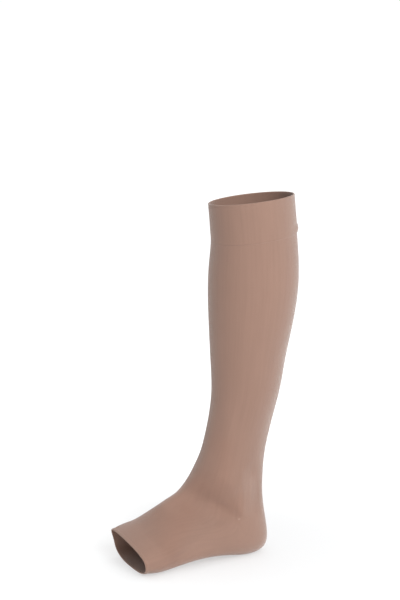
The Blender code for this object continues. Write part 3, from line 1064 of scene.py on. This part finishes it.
# %% Rows round the tube
JOIN = Stitch(1.45, 1.5, 0.5, 0.34, 0.32, 0.12, SEAM_YARN)
INNER_JOIN = Stitch(1.9, 1.6, 0.55, 0.35, 0.5, 0.12, SEAM_YARN)
TOE_EDGE = Stitch(1.25, 1.35, 0.62, 0.9, 0.4, 0.12, SEAM_YARN)
RoundRow = namedtuple("RoundRow", "name down out stitch")
ROUND_ROWS = [
    RoundRow("band_join_stitches", BAND_END + 0.35, LEG_WALL - 0.13, JOIN),
    RoundRow("band_inner_stitches", BAND_END - 0.2, -0.05, INNER_JOIN),
    RoundRow("toe_edge_stitches", TOE_END - 0.25, TOE_WALL * 0.62, TOE_EDGE),
]
round_rows = {}
for seed, row in enumerate(ROUND_ROWS, start=1):
    points, normals = ring_and_normals(row.down)
    points = points + normals * row.out
    round_rows[row.name] = sew(row.name, row.stitch, seed, points, normals, closed=True)

# %% [markdown]
# ## The gore lines of the heel
#
# The gore line has to lie exactly on the creased cloth. A Shrinkwrap modifier could pull it there, but by
# the shortest way, which moves it forwards or back. Its path is known from the side, so a ray is cast at
# the leg from each side instead, and it hits the cloth where the stitch belongs. The larger stitch at its
# start is a knot of yarn that catches the light.

# %% Gore lines and their first stitch
GORE_STITCH = Stitch(1.3, 0.95, 0.34, 0.3, 0.45, 0.2, SEAM_YARN)
GORE_SINK = 0.1  # how deep its stitches lie in the cloth
GORE_SEED = 20
FIRST_STITCH = Stitch(1.1, 2.0, 1.5, 0.55, 0.3, 0.05, SLUB_YARN)
FIRST_STITCH_SEED = 11
FIRST_STITCH_RUN = 1.0  # how far back from the gore line's start it reaches
RAY_START = 200.0  # to the side of the leg
LEG_TREE = BVHTree.FromObject(leg_cloth, bpy.context.evaluated_depsgraph_get())


def on_side(side, places):
    """Points on the cloth's outside that are seen from a side, and the outward direction at each."""
    hits = []
    for forward, up in places:
        start = Vector((side * RAY_START, RIM_CENTRE[0] - forward, up - RIM_CENTRE[1])) * MM
        hits.append(LEG_TREE.ray_cast(start, Vector((-side, 0, 0))))
    return np.array([hit[0] for hit in hits]) / MM, np.array([hit[1] for hit in hits])


GORE_PATH = np.array(GORE_ABOVE[1:-1] + GORE_BELOW)
GORE_PLACES = points_at(GORE_PATH, np.arange(0, run_along(GORE_PATH)[-1], GORE_STITCH.spacing))
START_PLACES = [GORE_START, (GORE_START[0] - FIRST_STITCH_RUN, GORE_START[1])]
gore_pieces = []
for side_name, side in (("outer", 1), ("inner", -1)):
    points, normals = on_side(side, GORE_PLACES)
    sunk = points - normals * GORE_SINK
    gore_pieces.append(sew(f"gore_stitches_{side_name}", GORE_STITCH, GORE_SEED + side, sunk, normals))
    points, normals = on_side(side, START_PLACES)
    normals = [normals[0]] * len(START_PLACES)
    gore_pieces.append(sew(f"gore_knot_{side_name}", FIRST_STITCH, FIRST_STITCH_SEED, points, normals))

# %% [markdown]
# ## Riding on the imported model
#
# Each piece of cloth replaces its plain wall and rides on the one body. The knit of a firm stocking is drawn
# out by about two fifths round the leg, and hardly at all along it.


Cloth = namedtuple("Cloth", "piece node slot start end wall trim")
CLOTHS = [
    Cloth(band_cloth, "top_band", "band_knit", 0, BAND_END, BAND_WALL,
          [round_rows["band_join_stitches"], round_rows["band_inner_stitches"]]),
    Cloth(leg_cloth, "leg_and_foot", "leg_knit", LEG_START, LEG_END, LEG_WALL, gore_pieces),
    Cloth(toe_cloth, "toe_band", "toe_knit", TOE_START, TOE_END, TOE_WALL,
          [round_rows["toe_edge_stitches"]]),
]
for cloth in CLOTHS:
    for piece in [cloth.piece, *cloth.trim]:
        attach(piece, BODY)
        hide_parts(cloth.node)

# %% [markdown]
# ## The floor, the light and the camera
#
# The stocking stands on a plain pale shooting table inside a white tent. The table is lit a little from
# below and the tent's roof is brighter than its walls, which keeps the floor white and the shadows light.
# One large soft light stands beside the camera on the heel's side, and a cooler one behind the heel draws
# the thin bright rim that matt knit shows. The camera sees the tent as plain white, however little its
# walls light the cloth. A picture of a studio could light the cloth too, but a plain tent and two lamps are
# easier to understand and to change. From here on, sizes are in metres.

# %% Floor
FLOOR_UP = -RIM_CENTRE[1] * MM
FLOOR_RADIUS, FLOOR_CORNERS = 9.0, 96
TABLE_FINISH = {"Roughness": 0.7, "Specular IOR Level": 0.2, "Emission Color": (1, 1, 1, 1)}
FLOOR_WHITE = (0.80, 0.38)  # as it lights the cloth, and as the camera sees it
FLOOR_GLOW = 0.26  # the table is lit from below
GLOW_SEEN = (0.53, 0.80)  # what the camera sees of that: under the stocking, and far away
GLOW_REACH = 0.55  # how far from the rim's middle the second of them is reached


def pale_floor():
    bpy.ops.mesh.primitive_circle_add(vertices=FLOOR_CORNERS, radius=FLOOR_RADIUS, fill_type="NGON")
    floor = bpy.context.object
    floor.name = "floor"
    for vertex in floor.data.vertices:
        vertex.co.z = FLOOR_UP
    material, tree, shader = new_finish("pale_floor", TABLE_FINISH)
    place = {"Vector": add_node(tree, "ShaderNodeTexCoord").outputs["Object"]}
    spread = {
        "Value": add_node(tree, "ShaderNodeVectorMath", place, operation="LENGTH").outputs["Value"],
        "From Min": -FLOOR_UP,
        "From Max": GLOW_REACH,
        "To Min": GLOW_SEEN[0],
        "To Max": GLOW_SEEN[1],
    }
    seen_glow = add_node(tree, "ShaderNodeMapRange", spread, interpolation_type="SMOOTHSTEP")
    by_camera = add_node(tree, "ShaderNodeLightPath").outputs["Is Camera Ray"]
    feed(tree, shader.inputs["Base Color"], mixed(tree, by_camera, *FLOOR_WHITE))
    feed(tree, shader.inputs["Emission Strength"],
         mixed(tree, by_camera, FLOOR_GLOW, seen_glow.outputs["Result"]))
    floor.data.materials.append(material)
    floor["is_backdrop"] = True


pale_floor()
print(f"the floor is {-FLOOR_UP / MM:.0f} mm below the rim's middle")

# %% Camera
CAMERA_AZIMUTH = math.radians(67)
CAMERA_TILT = math.radians(10.6)
CAMERA_DISTANCE = 1.66
CAMERA_ABOVE_FLOOR = 0.622
CAMERA_FACES = Vector((0, -0.06415, FLOOR_UP))  # where on the floor the distance is measured from
SENSOR_WIDTH, LENS = 36, 88.14


def studio_camera():
    data = bpy.data.cameras.new("camera")
    data.sensor_width = SENSOR_WIDTH
    data.sensor_fit = "AUTO"
    data.lens = LENS
    camera = placed("camera", data)
    toward = Vector((math.sin(CAMERA_AZIMUTH), -math.cos(CAMERA_AZIMUTH), 0))
    camera.location = CAMERA_FACES + toward * CAMERA_DISTANCE + Vector((0, 0, CAMERA_ABOVE_FLOOR))
    camera.rotation_euler = (math.pi / 2 - CAMERA_TILT, 0, CAMERA_AZIMUTH)
    bpy.context.scene.camera = camera
    return camera


camera = studio_camera()
print("camera at", [round(x, 3) for x in camera.location])

# %% Lights
SIDE_LIGHT = 0.04  # of the white tent's walls
ROOF_LIGHT = 1.22  # what its roof adds
TENT_SEEN = 1.02  # what the camera sees of it all
# azimuth in degrees from the toes towards the outer side, and power in watts
Lamp = namedtuple("Lamp", "name azimuth height distance size power colour")
LAMPS = [
    Lamp("large_soft_light", 93, 0.70, 1.56, 1.0, 25.5, (0.95, 0.98, 1.0)),
    Lamp("rim_light", 175, -0.05, 1.8, 1.0, 5.7, (0.62, 0.87, 1.0)),
]
LIGHTS_FACE = Vector((0, 0, -0.2))


def white_tent():
    """A surround with white walls and a brighter roof, which the camera sees as plain white."""
    world = bpy.data.worlds.new("white_tent")
    world.use_nodes = True
    tree = world.node_tree
    place = {"Vector": add_node(tree, "ShaderNodeTexCoord").outputs["Generated"]}
    height = add_node(tree, "ShaderNodeSeparateXYZ", place).outputs["Z"]
    lit = calculate(tree, "MULTIPLY_ADD", calculate(tree, "MAXIMUM", height, 0), ROOF_LIGHT, SIDE_LIGHT)
    by_camera = add_node(tree, "ShaderNodeLightPath").outputs["Is Camera Ray"]
    surround = tree.nodes["Background"].inputs
    feed(tree, surround["Color"], (1, 1, 1, 1))
    feed(tree, surround["Strength"], mixed(tree, by_camera, lit, TENT_SEEN))
    bpy.context.scene.world = world


def set_up(lamp):
    data = bpy.data.lights.new(lamp.name, "AREA")
    data.shape = "DISK"
    data.size = lamp.size
    data.energy = lamp.power
    data.color = lamp.colour
    light = placed(lamp.name, data)
    turn = math.radians(lamp.azimuth)
    light.location = (lamp.distance * math.sin(turn), -lamp.distance * math.cos(turn), lamp.height)
    light.rotation_euler = (LIGHTS_FACE - light.location).to_track_quat("-Z", "Y").to_euler()


white_tent()
for lamp in LAMPS:
    set_up(lamp)
bpy.context.scene.view_settings.view_transform = "Standard"
print("lights:", ", ".join(lamp.name for lamp in LAMPS))

# %% Write the sizes and finish
bpy.context.view_layer.update()
SEEN_BOX = [list(corner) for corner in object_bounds()]
for words, corners in (("packed model", CAD_BOX), ("finished model", SEEN_BOX)):
    print(words, [round(high - low, 4) for low, high in zip(*corners)])
